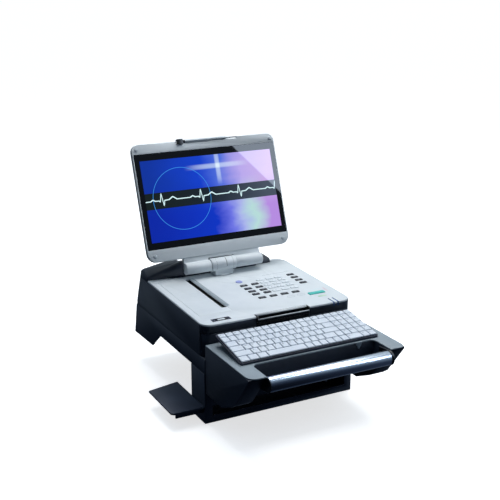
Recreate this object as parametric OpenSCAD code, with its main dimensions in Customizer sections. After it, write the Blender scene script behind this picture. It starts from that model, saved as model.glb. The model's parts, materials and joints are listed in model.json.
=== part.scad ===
// Electrocardiograph: main unit with printer and keypad, tilting display,
// loose keyboard, and the trolley head that carries them.
// The origin is the centre of the bolt pattern under the head's column.
// X runs to the operator's right, Y runs away from the operator, Z is up.

/* [Main unit] */
// Width of the main unit
unit_w = 410; // [400:1:420]
// Depth of the main unit along its floor
unit_d = 430; // [425:1:440]
// Height of the top cover at its front edge, above the unit's floor
top_h = 82; // [78:1:90]
// Rise of the top cover towards the back, in degrees
top_slope = 1.4; // [1:0.1:2]
// Lean of the back wall, in degrees
back_lean = 21; // [18:1:24]
// Radius of the front corners, seen from above
corner_r = 27; // [20:1:30]
// Wall thickness of the mouldings
wall = 3; // [2.5:0.5:3.5]

/* [Display] */
// Width of the display's frame
display_w = 418; // [410:1:430]
// Distance from the hinge axis to the frame's bottom edge
frame_low = 28; // [26:1:30]
// Distance from the hinge axis to the frame's top edge
frame_high = 337; // [330:1:345]
// Lean of the display behind upright, in degrees
display_lean = 19.5; // [10:0.5:25]
// Distance of the hinge axis behind the unit's front face
hinge_y = 310; // [305:1:312]
// Height of the hinge axis above the unit's floor
hinge_z = 117.5; // [116:0.5:120]
// Radius of the hinge barrels that turn with the display
barrel_r = 15.5; // [14:0.5:16.5]

/* [Keyboard] */
// Width of the keyboard
board_w = 366; // [366:1:376]
// Depth of the keyboard
board_d = 133; // [132:1:135]
// Tilt of the keyboard, in degrees
board_tilt = 9; // [8:0.5:10]
// Distance between neighbouring keys of one row
key_pitch = 19; // [18.5:0.5:19]

/* [Trolley head] */
// Height of the unit's floor above the mounting face
seam_z = 165; // [160:1:200]
// Width of the column
column_w = 412; // [405:1:420]
// Depth of the column
column_d = 76; // [70:1:80]
// Distance that the tray stands out in front of the unit
tray_reach = 226; // [224:1:236]
// Radius of the handle bar
handle_r = 17; // [14:1:18]

/* [Hidden] */
$fn = 48;
e = 0.02;
front_y = -35;
navy = "#262c3c";
light = "#c6d0d6";
tray_grey = "#97a4ac";
black = "#15171c";
steel = "#b4b8bc";

// Depth of the top cover, and how far its skirt and front lip hang down
cover_d = 360;
rear_r = 30;
skirt = 5;
lip = 24;
lip_d = 19;
gap = 0.3;
// Front edge of the rear housing: at the left side, at the hinge, at the right
housing_y = [344, 335, 331, 338];
// Recorder: edges of the lid, the printer slot and the tear bar
lid = [-187, 62, -100, 316];
slot = [-114.5, 88, -103, 306];
tear = [-102.8, 94, -90, 311];
lid_axis = [-197, -6];
platen = [-121, -13];
platen_r = 7;
roll = [-153, -33];
roll_r = 22;
motor = [-121, -25];
gear_module = 0.8;
// Keys: cap size, height above the cover, and the groups' places
key_cap = [20, 11];
key_rise = 1.6;
key_bottom = -3.4;
dark_x = [3.5, 36];
dark_y = [133, 154, 176, 200];
white_x = [62, 88.5, 115];
white_y = [134, 157, 179, 200.5, 221];
side_x = [155];
side_y = [156, 178, 201, 223.5];
bottom_x = [6, 38, 70, 102];
bottom_y = [104.5];
start_at = [146, 74.5];
start_size = [46, 14];
power_at = [5.5, 231];
power_r = 9;
grip = [-66, 80];
light_x = [151, 163];
button_at = [-149.5, 22];
// Hinge: ends of the barrels and of the fixed middle piece, shaft radius
barrel_end = 112;
post = [-40, 32];
post_r = 17.5;
post_gap = 0.9;
shaft_r = 6;
running = 0.06;
// Display glass and its opening, as heights above the hinge axis
glass_low = 60.5;
glass_high = 311;
glass_w = 411;
frame_t = 9;
// Front moulding of the frame, and the rim of the rear shell that wraps round behind it
face_t = 3;
rim = 2;
// Stylus: axis of its groove behind the front face and from the hinge, radius
pen_at = [1.2, -2];
pen_r = 4;
// Keyboard: place, row depths and key widths in units of the pitch
board_x = -2.6;
board_y = -150;
board_t = 5.6;
well_z = 4.8;
cap_z = 6.4;
cap_gap = 1.4;
cap_h = 2.8;
row_d = 22;
main_rows = [
    [1.25, 1.25, 1.25, 5.25, 1, 1, 1, 1, 1, 1],
    [2.25, 1, 1, 1, 1, 1, 1, 1, 1, 1, 1, 1.75, 1],
    [1.75, 1, 1, 1, 1, 1, 1, 1, 1, 1, 1, 1, 2.25],
    [1.5, 1, 1, 1, 1, 1, 1, 1, 1, 1, 1, 1, 1, 1.5],
    [1, 1, 1, 1, 1, 1, 1, 1, 1, 1, 1, 1, 1, 2]
];
number_rows = [[2, 1, 1], [1, 1, 1, 1], [1, 1, 1, 1], [1, 1, 1, 1], [1, 1, 1, 1]];
main_units = 15;
foot_x = [-140, 140];
foot_w = 30;
foot_at = [118, 2.2];
foot_h = 10.4;
// Trolley head: tray opening, handle axis, column slot
tray_z = 37.5;
opening_x = 162;
opening_y = -155;
handle_at = [-225, 17.5];
handle_x = [-159.5, 155.2];
column_y = -3.5;
cradle_h = 37;
slot_z = [-147, -122];
shelf_z = -120;
bolt_x = 340;
bolt_y = 44;
bolt_r = 4.5;

// ---- frames and shared shapes ----

module unit_frame() translate([0, front_y, seam_z]) children();

module on_top() unit_frame() translate([0, 0, top_h]) rotate([top_slope, 0, 0]) children();

module on_back() unit_frame() translate([0, unit_d, 0]) rotate([back_lean, 0, 0]) children();

module on_display()
    unit_frame() translate([0, hinge_y, hinge_z]) rotate([-display_lean, 0, 0]) children();

module on_keyboard()
    unit_frame() translate([board_x, board_y, tray_z]) rotate([board_tilt, 0, 0]) children();

// Extrudes a Y-Z outline along X, from x0 to x1
module across(x0, x1) translate([x0, 0, 0]) rotate([90, 0, 90]) linear_extrude(x1 - x0) children();

// A round bar along X, from x0 to x1
module bar_x(x0, x1, r) translate([x0, 0, 0]) rotate([0, 90, 0]) cylinder(r = r, h = x1 - x0);

// A round bar along Y, from y0 to y1
module bar_y(y0, y1, r) translate([0, y0, 0]) rotate([-90, 0, 0]) cylinder(r = r, h = y1 - y0);

function arc(c, r, a, n = 6) =
    r <= 0 ? [c] : [for (i = [0:n]) c + r * [cos(a + 90 * i / n), sin(a + 90 * i / n)]];

// Outline of a rectangle with a radius for each corner, from back right, anticlockwise
function round_rect(x0, y0, x1, y1, r) = concat(
    arc([x1 - r[0], y1 - r[0]], r[0], 0), arc([x0 + r[1], y1 - r[1]], r[1], 90),
    arc([x0 + r[2], y0 + r[2]], r[2], 180), arc([x1 - r[3], y0 + r[3]], r[3], 270)
);

module plate(x0, y0, x1, y1, r, h) linear_extrude(h) polygon(round_rect(x0, y0, x1, y1, [r, r, r, r]));

// An upright sheet in the display's frame: an X-Z outline, thick along Y from y0
module upright(x0, z0, x1, z1, r, y0, t)
    translate([0, y0 + t, 0]) rotate([90, 0, 0]) linear_extrude(t) polygon(round_rect(x0, z0, x1, z1, r));

function back_y(z) = unit_d - z * tan(back_lean);
function top_z(y) = top_h + y * tan(top_slope);

// ---- main unit casing ----

// The unit's lower body, drawn in from its outside by d
module base_body(d) {
    low = d;
    high = d > 0 ? 130 : 0;
    back_z = top_z(housing_y[0]) - skirt - 0.2;
    corners = [6, 6, corner_r - d, corner_r - d];
    difference() {
        intersection() {
            linear_extrude(200) polygon(round_rect(-unit_w / 2 + d, d, unit_w / 2 - d, unit_d - d, corners));
            across(-unit_w, unit_w) polygon([
                [0, low], [back_y(low) - d, low], [back_y(back_z + high) - d, back_z + high],
                [housing_y[0], back_z + high], [20, top_z(20) - skirt - 0.2 + high],
                [20, top_z(0) - lip - 0.2 + high], [0, top_z(0) - lip - 0.2 + high]
            ]);
        }
        translate([0, 0, 30 - d]) linear_extrude(200) difference() {
            translate([162 - d, 300]) square([60, 160]);
            polygon(round_rect(0, 0, unit_w / 2 - d, cover_d + 1 - d, [rear_r, 0, 0, 0]));
        }
    }
}

module fan_slots() for (i = [-3:3]) translate([-150, -12, 38 + 6 * i]) cube([44, 20, 3]);

module unit_base() color(navy) difference() {
    union() {
        unit_frame() difference() {
            base_body(0);
            base_body(wall);
        }
        unit_frame() for (x = [-150, 150], y = [60, 330]) translate([x, y, wall - e]) cylinder(r = 7, h = 14);
    }
    unit_frame() for (x = [-150, 150], y = [60, 330]) translate([x, y, -1]) cylinder(r = 3.1, h = 20);
    unit_frame() translate([190, 180, 13]) cube([30, 150, 52]);
    on_back() translate([0, 0, 0]) fan_slots();
    unit_frame() translate([grip[0] - gap, -1, 40]) cube([grip[1] - grip[0] + 2 * gap, 14, 30]);
}

// Outline of the top cover, drawn in by d
module cover_outline(d) difference() {
    corners = [rear_r - d, 1, corner_r - d, corner_r - d];
    polygon(round_rect(-unit_w / 2 + d, d, unit_w / 2 - d, cover_d - d, corners));
    polygon([
        [-unit_w, housing_y[0] - gap - d], [-unit_w / 2, housing_y[0] - gap - d],
        [-barrel_end, housing_y[1] - gap - d], [-barrel_end, housing_y[2] - gap - d],
        [barrel_end, housing_y[2] - gap - d], [barrel_end, housing_y[3] - gap - d],
        [160 + gap + d, housing_y[3] - gap - d], [160 + gap + d, 500], [-unit_w, 500]
    ]);
}

module key_holes(xs, ys) for (x = xs, y = ys)
    translate([x - key_cap[0] / 2 - 0.4, y - key_cap[1] / 2 - 0.4, -9])
        cube([key_cap[0] + 0.8, key_cap[1] + 0.8, 20]);

module top_cover() color(light) on_top() difference() {
    union() {
        translate([0, 0, -wall]) linear_extrude(wall) cover_outline(0);
        translate([0, 0, -skirt]) linear_extrude(skirt - 1) difference() {
            cover_outline(0);
            cover_outline(wall);
        }
        translate([0, 0, -lip]) linear_extrude(lip - 1) difference() {
            cover_outline(0);
            cover_outline(wall);
            translate([-300, lip_d]) square([600, 600]);
        }
    }
    translate([0, 0, -30]) plate(lid[0] - gap, lid[1] - gap, slot[0] + gap, lid[3] + gap, 0.5, 60);
    translate([0, 0, -30]) plate(lid[0] - gap, lid[1] - gap, lid[2] + gap, slot[3], 2, 60);
    translate([tear[0], tear[1] - 0.2, -30]) cube([tear[2] - tear[0] + 0.2, tear[3] - tear[1] + 0.4, 60]);
    key_holes(dark_x, dark_y);
    key_holes(white_x, white_y);
    key_holes(side_x, side_y);
    key_holes(bottom_x, bottom_y);
    translate([start_at[0] - start_size[0] / 2 - 0.4, start_at[1] - start_size[1] / 2 - 0.4, -9])
        cube([start_size[0] + 0.8, start_size[1] + 0.8, 20]);
    translate([power_at[0], power_at[1], -9]) cylinder(r = power_r + 0.4, h = 20);
    translate([button_at[0] - 24.3, button_at[1] - 7.8, -9]) cube([48.6, 15.6, 20]);
    translate([grip[0] - gap, -9, -40]) cube([grip[1] - grip[0] + 2 * gap, 22.3, 60]);
    for (x = light_x) translate([x - 1.7, -5, -10.2]) cube([3.4, 33.2, 9]);
    for (x = light_x) translate([x - 1.7, -5, -1.4]) cube([3.4, 33.2, 9]);
    translate([-4, 314, -20]) cylinder(r = 13, h = 40);
}

// One cross-section of the rear housing at x: its front stands upright for some way above the
// cover, then leans back to the ridge
module housing_slice(x, y0, z1, d, upright = 4) {
    z0 = top_z(housing_y[0]) - skirt - (d > 0 ? 9 : 0);
    z2 = top_z(y0) + upright - d;
    across(x - 0.5, x + 0.5) polygon(concat(
        [[y0 + d, z0], [y0 + d, z2], [y0 + d + 3, z2 + 5]],
        upright > 4 ? [[y0 + d + 9, z1 - 0.7 - d]] : [],
        [
            [back_y(z1) - 14, z1 - 0.5 - d], [back_y(z1) - 8, z1 - d], [back_y(z1) - 3 - d, z1 - 0.5 - d],
            [back_y(z1 - 3) - d, z1 - 3 - d], [back_y(z0) - d, z0]
        ]
    ));
}

module housing_body(d) {
    hull() {
        housing_slice(-unit_w / 2 + 0.5 + d, housing_y[0], 108, d);
        housing_slice(-unit_w / 2 + 5 + d, housing_y[0], 112, d);
        housing_slice(-barrel_end - 5, housing_y[1] + 0.8, 129.5, d, 29);
        housing_slice(-barrel_end + 1, housing_y[1] + 1, 128, d, 27);
        housing_slice(-barrel_end + 4, housing_y[1] + 4, 124, d, 22);
    }
    hull() {
        housing_slice(-barrel_end - 1, housing_y[2] + 6, 121, d);
        housing_slice(-barrel_end + 3, housing_y[2], 118, d);
        housing_slice(barrel_end - 3, housing_y[2], 112, d);
    }
    hull() {
        housing_slice(barrel_end - 3.2, housing_y[3], 112, d);
        housing_slice(150, housing_y[3], 108, d);
        housing_slice(159.5 - d, housing_y[3] + 6, 100, d);
    }
}

// Cheek beside the left barrel: it stands out over the cover and tapers into the housing
module housing_cheek() hull() {
    across(-barrel_end - 5, -barrel_end - 1) polygon([
        [317, 102], [317, 123], [321, 131], [329, 134], [337, 132], [345, 130], [345, 98], [321, 98]
    ]);
    across(-161, -160) polygon([[340.5, 99], [340.5, 104], [346, 113], [352, 114], [352, 95], [342, 95]]);
}

// Its core, which opens into the housing
module cheek_core() translate([0, 0, 102]) linear_extrude(12)
    polygon([[-116.5, 322], [-121, 322], [-148, 339], [-148, 352], [-116.5, 352]]);

module rear_housing() color(navy) unit_frame() difference() {
    union() {
        housing_body(0);
        housing_cheek();
    }
    housing_body(wall);
    cheek_core();
}

// ---- sockets, boards, supply, battery, fan ----

module side_panel() color(black) unit_frame() difference() {
    translate([202, 180.3, 13.3]) cube([2, 149.4, 51.4]);
    translate([198, 206, 39]) rotate([0, 90, 0]) cylinder(r = 15.2, h = 12);
    for (z = [27, 43]) translate([198, 239.8, z - 0.2]) cube([12, 14.4, 7.4]);
    translate([198, 263.8, 30.8]) cube([12, 17.4, 14.4]);
    translate([198, 293.8, 26.8]) cube([12, 30.4, 24.4]);
}

module patient_socket() color(tray_grey) unit_frame() difference() {
    union() {
        translate([190, 206, 39]) rotate([0, 90, 0]) cylinder(r = 15, h = 14);
        translate([204, 206, 39]) rotate([0, 90, 0]) cylinder(r = 17, h = 2);
    }
    translate([194, 206, 39]) rotate([0, 90, 0]) cylinder(r = 11, h = 20);
}

module socket_shell(y, z, w, h) difference() {
    translate([190, y, z]) cube([14.5, w, h]);
    translate([192, y + 1, z + 1]) cube([14, w - 2, h - 2]);
}

module data_sockets() color(steel) unit_frame() {
    socket_shell(240, 27, 14, 7);
    socket_shell(240, 43, 14, 7);
    socket_shell(264, 31, 17, 14);
}

module mains_inlet() color(black) unit_frame() {
    difference() {
        translate([184, 294, 27]) cube([20.5, 30, 24]);
        translate([188, 297, 30]) cube([20, 24, 18]);
    }
    for (p = [[302, 36], [309, 41], [316, 36]]) translate([187, p[0] - 1, p[1] - 2]) cube([9, 2, 4]);
}

module main_board() color("#1f6b4a") unit_frame() {
    translate([-80, 50, 40]) cube([262, 240, 1.6]);
    for (p = [[-40, 90, 30], [20, 90, 22], [80, 200, 34], [-30, 220, 18], [120, 110, 26]])
        translate([p[0], p[1], 41.6 - e]) cube([p[2], p[2], 2.4]);
    for (x = [-70, 170], y = [60, 280]) translate([x, y, wall]) cylinder(r = 4, h = 40 - wall);
}

module power_supply() color(steel) unit_frame() difference() {
    translate([-60, 334, wall]) cube([150, 58, 50]);
    for (i = [0:8]) translate([-50 + 15 * i, 342, 40]) cube([5, 42, 20]);
}

module battery_pack() color("#3c4656") unit_frame() {
    translate([0, 0, wall]) plate(-50, 110, 90, 250, 6, 28);
}

// Square frame whose back face carries the rotor's hub on one bar
module fan_frame() color(black) on_back() translate([-128, 0, 38]) difference() {
    translate([-22, -15.3, -22]) cube([44, 12, 44]);
    bar_y(-16, -4.3, 20);
    difference() {
        bar_y(-5, -2, 19.9);
        translate([-30, -6, -4]) cube([60, 6, 8]);
    }
}

module fan_rotor() color("#2a2d33") on_back() translate([-128, 0, 38]) {
    bar_y(-14.5, -4.8, 8);
    for (i = [0:6]) rotate([0, i * 360 / 7, 0]) translate([7, -9.5, 0]) rotate([35, 0, 0])
        translate([0, -0.7, -4]) cube([11.5, 1.4, 8]);
}

// ---- recorder ----

// A spur gear along Y: straight-sided teeth a little narrower than their spaces
function tooth(a, p, r) = [for (q = [[-p, r[0]], [-p * 0.42, r[1]], [p * 0.42, r[1]], [p, r[0]]])
    q[1] * [cos(a + q[0]), sin(a + q[0])]];

module gear(teeth, turn, bore, h) {
    pitch_r = teeth * gear_module / 2;
    points = [for (i = [0:teeth - 1]) each tooth(turn + i * 360 / teeth, 0.58 * 180 / teeth,
        [pitch_r - 0.98, pitch_r + 0.62])];
    rotate([-90, 0, 0]) linear_extrude(h) difference() {
        polygon(points);
        circle(r = bore);
    }
}

module in_recorder(p) on_top() translate([p[0], 0, p[1]]) children();

module recorder_frame() color(steel) difference() {
    on_top() {
        for (y = [83, 312]) translate([-201, y, -60]) cube([111, 2, 54.5]);
        translate([-201, 83, -62]) cube([111, 231, 2]);
        translate([-133, 74.5, -38]) cube([24, 1.6, 26]);
        for (x = [-132, -112]) translate([x, 75, -37.5]) cube([2, 9, 3]);
    }
    in_recorder(platen) bar_y(70, 320, 3 + running);
    in_recorder(roll) bar_y(80, 320, 5 + running);
    in_recorder(motor) bar_y(70, 80, 5);
    in_recorder(lid_axis) bar_y(80, 320, 1.5);
    in_recorder([platen[0], platen[1]]) bar_y(73, 78, 9);
}

module thermal_head() color("#5a5048") on_top() translate([-113.4, 90, -25]) cube([10, 216, 16]);

module paper_roll() color("#f2efe8") in_recorder(roll) difference() {
    bar_y(94, 304, roll_r);
    bar_y(90, 310, 5);
}

module paper_spindle() color(black) in_recorder(roll) bar_y(81, 316, 5);

module platen_roller() color("#20242a") in_recorder(platen) {
    bar_y(88, 308, platen_r);
    bar_y(75.5, 316, 3);
}

module platen_gear() color("#e8e2d0") in_recorder(platen) translate([0, 76.5, 0]) gear(18, 0, 3, 5.5);

module feed_motor() color(steel) in_recorder(motor) {
    bar_y(44, 74, 11.5);
    bar_y(30, 44.1, 5);
}

module motor_pinion() color("#c8a050") in_recorder(motor) {
    translate([0, 77, 0]) gear(12, 0, 1.5, 4.5);
    bar_y(74.2, 82.2, 1.5);
}

module tear_bar() color("#a3abad") on_top() difference() {
    translate([tear[0], tear[1], -7]) cube([tear[2] - tear[0] - 0.2, tear[3] - tear[1], 7.4]);
    for (i = [0:35]) translate([tear[0] - 1, tear[1] + 2 + 6 * i, 0]) cube([4, 3, 2]);
}

// The lid is cut back beside the printer slot, and behind it clears the hinge barrel
module recorder_lid() color(light) on_top() difference() {
    union() {
        difference() {
            translate([0, 0, -wall]) plate(lid[0], lid[1], lid[2], lid[3], 2, wall);
            translate([lid[0], 0, 0]) rotate([0, -32, 0]) translate([-10, 0, -20]) cube([10, 400, 40]);
        }
        for (y = [120, 200, 265]) translate([-176, y, -4.5]) cube([50, 2, 2]);
    }
    translate([slot[0], slot[1], -20]) cube([30, lid[3], 40]);
}

module lid_arms() color(light) difference() {
    in_recorder(lid_axis) for (y = [100, 288]) translate([0, y + 6, 0]) rotate([90, 0, 0]) linear_extrude(6) {
        polygon([
            [-2.6, 0.5], [-2.6, -17], [18.5, -17], [18.5, 3], [14, 3],
            [14, -12.6], [2.6, -12.6], [2.6, 0.5]
        ]);
        circle(r = 2.8);
    }
    in_recorder(lid_axis) bar_y(90, 300, 1.5 + running);
}

module lid_hinge_pin() color(steel) in_recorder(lid_axis) bar_y(82, 316, 1.5);

module lid_button_bezel() color(black) on_top() difference() {
    translate([0, 0, -5])
        plate(button_at[0] - 24, button_at[1] - 7.5, button_at[0] + 24, button_at[1] + 7.5, 2, 5.6);
    translate([0, 0, -9])
        plate(button_at[0] - 16, button_at[1] - 5, button_at[0] + 16, button_at[1] + 5, 1.5, 20);
}

module lid_button() color(light) on_top() translate([0, 0, -3.2])
    plate(button_at[0] - 15.6, button_at[1] - 4.6, button_at[0] + 15.6, button_at[1] + 4.6, 1.4, 4.6);

// ---- keypad and lights ----

module keypad_board() color("#1f6b4a") on_top() {
    translate([-18, 62, -8.6]) cube([196, 186, 1.6]);
    color("#50565e") translate([-16, 64, -7.02]) cube([192, 182, 1.6]);
}

// A key cap of w by d mm about the origin, rising h above the cover
module cap(w, d, r, h) translate([0, 0, key_bottom]) plate(-w / 2, -d / 2, w / 2, d / 2, r, h - key_bottom);

module keys(xs, ys) on_top() for (x = xs, y = ys) translate([x, y, 0])
    cap(key_cap[0], key_cap[1], 2, key_rise);

module dark_keys() color("#2b3440") keys(dark_x, dark_y);

module white_keys() color("#d5dde2") keys(white_x, white_y);

module side_keys() color("#2b3440") keys(side_x, side_y);

module bottom_keys() color("#2b3440") keys(bottom_x, bottom_y);

module start_key() color("#2fb0a4") on_top() translate([start_at[0], start_at[1], 0])
    cap(start_size[0], start_size[1], 4, key_rise + 0.4);

module power_key() color("#8f9ad0") on_top() translate([power_at[0], power_at[1], key_bottom])
    cylinder(r = power_r, h = key_rise - key_bottom);

module status_lights() color("#4a78d8") on_top() for (x = light_x) {
    translate([x - 1.5, -0.4, -1.2]) cube([3, 28.4, 1.5]);
    translate([x - 1.5, -0.4, -10]) cube([3, 3, 9]);
}

module front_grip() color(black) {
    on_top() difference() {
        translate([grip[0], 0.8, -23.5]) cube([grip[1] - grip[0], 12, 23.8]);
        translate([grip[0] + 3, -2, -17]) cube([grip[1] - grip[0] - 6, 12.5, 30]);
    }
    on_top() translate([0, -0.8, -4]) rotate([top_slope, 0, 0]) bar_x(grip[0], grip[1], 4.2);
}

// ---- display hinge ----

module hinge_post() color(light) difference() {
    hinge_post_body();
    unit_frame() translate([0, hinge_y, hinge_z]) bar_x(post[0] - 1, post[1] + 1, shaft_r);
}

// The fixed barrel, its block, and the stem and flange that stand on the cover
module hinge_post_body() {
    unit_frame() {
        translate([0, hinge_y, hinge_z]) bar_x(post[0], post[1], post_r);
        translate([-30, hinge_y - 13, top_z(hinge_y) + 1]) cube([52, 28, 26]);
        translate([-4, 314, 62]) cylinder(r = 12.5, h = 30);
    }
    on_top() intersection() {
        translate([-4, 316, 0.1]) cylinder(r = 24, h = 3);
        translate([-60, 250, -1]) cube([120, housing_y[2] - gap - 250, 20]);
    }
}

module hinge_bracket() color(steel) unit_frame() {
    translate([-60, 296, 58]) cube([116, 30, 4]);
    for (x = [-60, 52]) translate([x, 296, wall]) cube([4, 30, 56]);
}

module hinge_shaft() color(steel) unit_frame() translate([0, hinge_y, hinge_z])
    bar_x(-barrel_end + 3, barrel_end - 3, shaft_r);

module hinge_barrels() color(light) on_display() difference() {
    union() {
        for (x = [[-barrel_end, post[0] - post_gap], [post[1] + post_gap, barrel_end]]) {
            bar_x(x[0], x[1], barrel_r);
            translate([x[0], 1.5, 10]) cube([x[1] - x[0], 10, 12]);
        }
        translate([-barrel_end, 1.5, post_r + 3]) cube([2 * barrel_end, 10, frame_low - post_r - 3]);
    }
    bar_x(-barrel_end + 2.5, barrel_end - 2.5, shaft_r + running);
}

// ---- display ----

frame_r = [20, 20, 25, 25];

// The display's outline drawn in by d, from y0 and t thick
module display_slab(d, y0, t) upright(-display_w / 2 + d, frame_low + d, display_w / 2 - d, frame_high - d,
    [for (r = frame_r) r - d], y0, t);

// Groove for the stylus along the top edge, and the pocket for its holder
module pen_groove() {
    translate([0, pen_at[0], frame_high + pen_at[1]]) bar_x(-80, 97, pen_r + 0.6);
    translate([-80.3, -1, frame_high - 9.3]) cube([16.6, 8, 20]);
}

module display_frame() color(light) on_display() difference() {
    union() {
        display_slab(0, 0, face_t);
        display_slab(rim + 0.2, face_t - e, frame_t - face_t + e);
    }
    upright(-glass_w / 2, glass_low, glass_w / 2, glass_high, [2, 2, 2, 2], -1, frame_t + 2);
    pen_groove();
}

module display_glass() color("#0b0d12") on_display()
    upright(-glass_w / 2 + gap, glass_low + gap, glass_w / 2 - gap, glass_high - gap, [2, 2, 2, 2], 0, 2.5);

module lcd_panel() color("#2448a0") on_display() {
    upright(-196, 70, 196, 297, [1, 1, 1, 1], 2.7, 6);
    translate([-90, 8.6, 120]) cube([180, 5, 110]);
}

module display_rear_shell() color(navy) on_display() difference() {
    union() {
        hull() {
            display_slab(0, face_t + 0.1, 6.5);
            display_slab(1, frame_t + 3, 0.5);
            display_slab(9, frame_t + 6.5, 0.5);
        }
        hull() {
            upright(-165, 52, 165, 270, [14, 14, 14, 14], frame_t + 6, 0.5);
            upright(-145, 72, 145, 250, [14, 14, 14, 14], frame_t + 20, 0.5);
        }
    }
    hull() {
        upright(-206, frame_low + 3, 206, frame_high - 7, [17, 17, 22, 22], frame_t - 1, 0.5);
        upright(-197, frame_low + 13, 197, frame_high - 14, [17, 17, 22, 22], frame_t + 4, 0.5);
    }
    hull() {
        upright(-160, 57, 160, 265, [12, 12, 12, 12], frame_t, 0.5);
        upright(-142, 75, 142, 247, [12, 12, 12, 12], frame_t + 17.5, 0.5);
    }
    display_slab(rim, face_t - 1, frame_t - face_t + 1.1);
    for (i = [0:11]) translate([-66 + 12 * i - 2, frame_t + 10, 200]) cube([4, 20, 34]);
    pen_groove();
}

module display_bumpers() color(tray_grey) on_display() for (s = [-1, 1]) {
    translate([s * 196, 0, 322.5]) bar_y(-2.2, 0, 4.8);
    translate([s * 189, 0, 44]) bar_y(-2.2, 0, 4.8);
}

module stylus_holder() color(black) on_display() difference() {
    translate([-80, -5.2, frame_high - 9]) cube([16, 12, 13.5]);
    translate([0, pen_at[0], frame_high + pen_at[1]]) bar_x(-78, -60, pen_r + 0.3);
}

module stylus() color("#b9c2c8") on_display() translate([0, pen_at[0], frame_high + pen_at[1]]) {
    bar_x(-77, 52, pen_r);
    translate([52, 0, 0]) rotate([0, 90, 0]) cylinder(r1 = pen_r, r2 = 1.2, h = 22);
}

// ---- keyboard ----

module keyboard_case() color("#2b3350") on_keyboard() difference() {
    plate(-board_w / 2, 0, board_w / 2, board_d, 5, board_t);
    translate([0, 0, well_z]) plate(-board_w / 2 + 1.2, 1.2, board_w / 2 - 1.2, board_d - 1.2, 4, board_t);
    for (x = foot_x) translate([x - foot_w / 2 - 0.5, 104.5, -1]) cube([foot_w + 1, 17, 5]);
    for (x = foot_x) translate([0, foot_at[0], foot_at[1]])
        bar_x(x - foot_w / 2 - 3, x + foot_w / 2 + 3, 1.2 + running);
}

// Sum of the first n entries of a list
function run(v, n) = n == 0 ? 0 : v[n - 1] + run(v, n - 1);

// One key: column and width in units of the pitch, front edge and depth in mm
module board_key(u, w, y, d)
    translate([-19 * key_pitch / 2 + u * key_pitch + cap_gap / 2, y + cap_gap / 2, cap_z])
        cube([w * key_pitch - cap_gap, d - cap_gap, cap_h]);

module key_rows(rows, u0) on_keyboard() for (r = [0:4], i = [0:len(rows[r]) - 1])
    board_key(u0 + run(rows[r], i), rows[r][i], 2.5 + r * row_d, row_d);

module letter_keys() color("#e4e9ef") key_rows(main_rows, 0);

module number_keys() color("#e4e9ef") key_rows(number_rows, main_units);

module function_keys() color("#e4e9ef") on_keyboard() for (i = [0:18])
    board_key(i, 1, 2.5 + 5 * row_d, 17);

module keyboard_foot(x) color(black) on_keyboard() translate([0, foot_at[0], foot_at[1]]) {
    translate([x - foot_w / 2, -1.5, -foot_h]) cube([foot_w, 3, foot_h]);
    bar_x(x - foot_w / 2, x + foot_w / 2, 1.5);
    bar_x(x - foot_w / 2 - 2.5, x + foot_w / 2 + 2.5, 1.2);
}

module keyboard_foot_left() keyboard_foot(foot_x[0]);

module keyboard_foot_right() keyboard_foot(foot_x[1]);

// ---- trolley head ----

module cradle() color(navy) unit_frame() difference() {
    across(-unit_w / 2, unit_w / 2) polygon([
        [-4, -0.2], [431, -0.2], [450, -87], [323, -83], [268, -cradle_h], [-4, -cradle_h]
    ]);
    across(-unit_w / 2 + 4, unit_w / 2 - 4) polygon([
        [0, -4.2], [427, -4.2], [445, -95], [325, -95], [264, -cradle_h + 3], [264, -cradle_h - 9],
        [0, -cradle_h - 9]
    ]);
    for (x = [-150, 150], y = [60, 330]) translate([x, y, -60]) cylinder(r = 3.1, h = 80);
}

module column() color(navy) unit_frame() difference() {
    translate([-column_w / 2, column_y, -seam_z]) cube([column_w, column_d, seam_z - cradle_h - 0.1]);
    translate([-column_w / 2 + wall, column_y + wall, -seam_z - 1])
        cube([column_w - 2 * wall, column_d - 2 * wall, seam_z]);
    translate([-186, column_y - 5, slot_z[0]]) cube([372, 12, slot_z[1] - slot_z[0]]);
}

module column_flange() color(steel) unit_frame() difference() {
    translate([-column_w / 2 + wall + 0.2, column_y + wall + 0.2, -seam_z])
        cube([column_w - 2 * wall - 0.4, column_d - 2 * wall - 0.4, 8]);
    for (x = [-1, 1], y = [-1, 1]) translate([x * bolt_x / 2, -front_y + y * bolt_y / 2, -seam_z - 1])
        cylinder(r = bolt_r, h = 12);
}

// Side view of the tray's body, drawn in by d: the deep arms at both sides, and the shallow
// middle between them
function tray_arm(d) = [
    [-4.3 - d, tray_z - 3.2], [-tray_reach + 4 + d, tray_z - 3.2], [-219 + d, 28], [-161 + d, -48 + d],
    [-142 + d, -61 + d], [-90, -85 + d], [-4.3 - d, -85 + d]
];
function tray_middle(d) = [
    [-4.3 - d, tray_z - 3.2], [opening_y + d, tray_z - 3.2], [opening_y + d, -10 + d],
    [-90, -28 + d], [-50, -58 + d], [-4.3 - d, -66 + d]
];

module tray_body() color(navy) unit_frame() difference() {
    union() {
        for (s = [-1, 1]) across(s * 183 - 21, s * 183 + 21) polygon(tray_arm(0));
        across(-opening_x - 1, opening_x + 1) polygon(tray_middle(0));
    }
    for (s = [-1, 1]) across(s * 183 - 18, s * 183 + 18) polygon(tray_arm(wall));
    across(-opening_x + 4, opening_x - 4) polygon(tray_middle(wall));
}

module tray_top() color(tray_grey) unit_frame() translate([0, 0, tray_z - 3]) {
    linear_extrude(3) difference() {
        polygon(round_rect(-204, -tray_reach, 204, -6, [2, 2, 22, 16]));
        polygon(round_rect(-opening_x, -tray_reach - 50, opening_x, opening_y, [15, 15, 0, 0]));
    }
    translate([-160, -48, 3 - e]) cube([315, 22, 9.6]);
}

module handle_bar() color("#c9cdd2") unit_frame() translate([0, handle_at[0], handle_at[1]])
    bar_x(handle_x[0], handle_x[1], handle_r);

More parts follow.
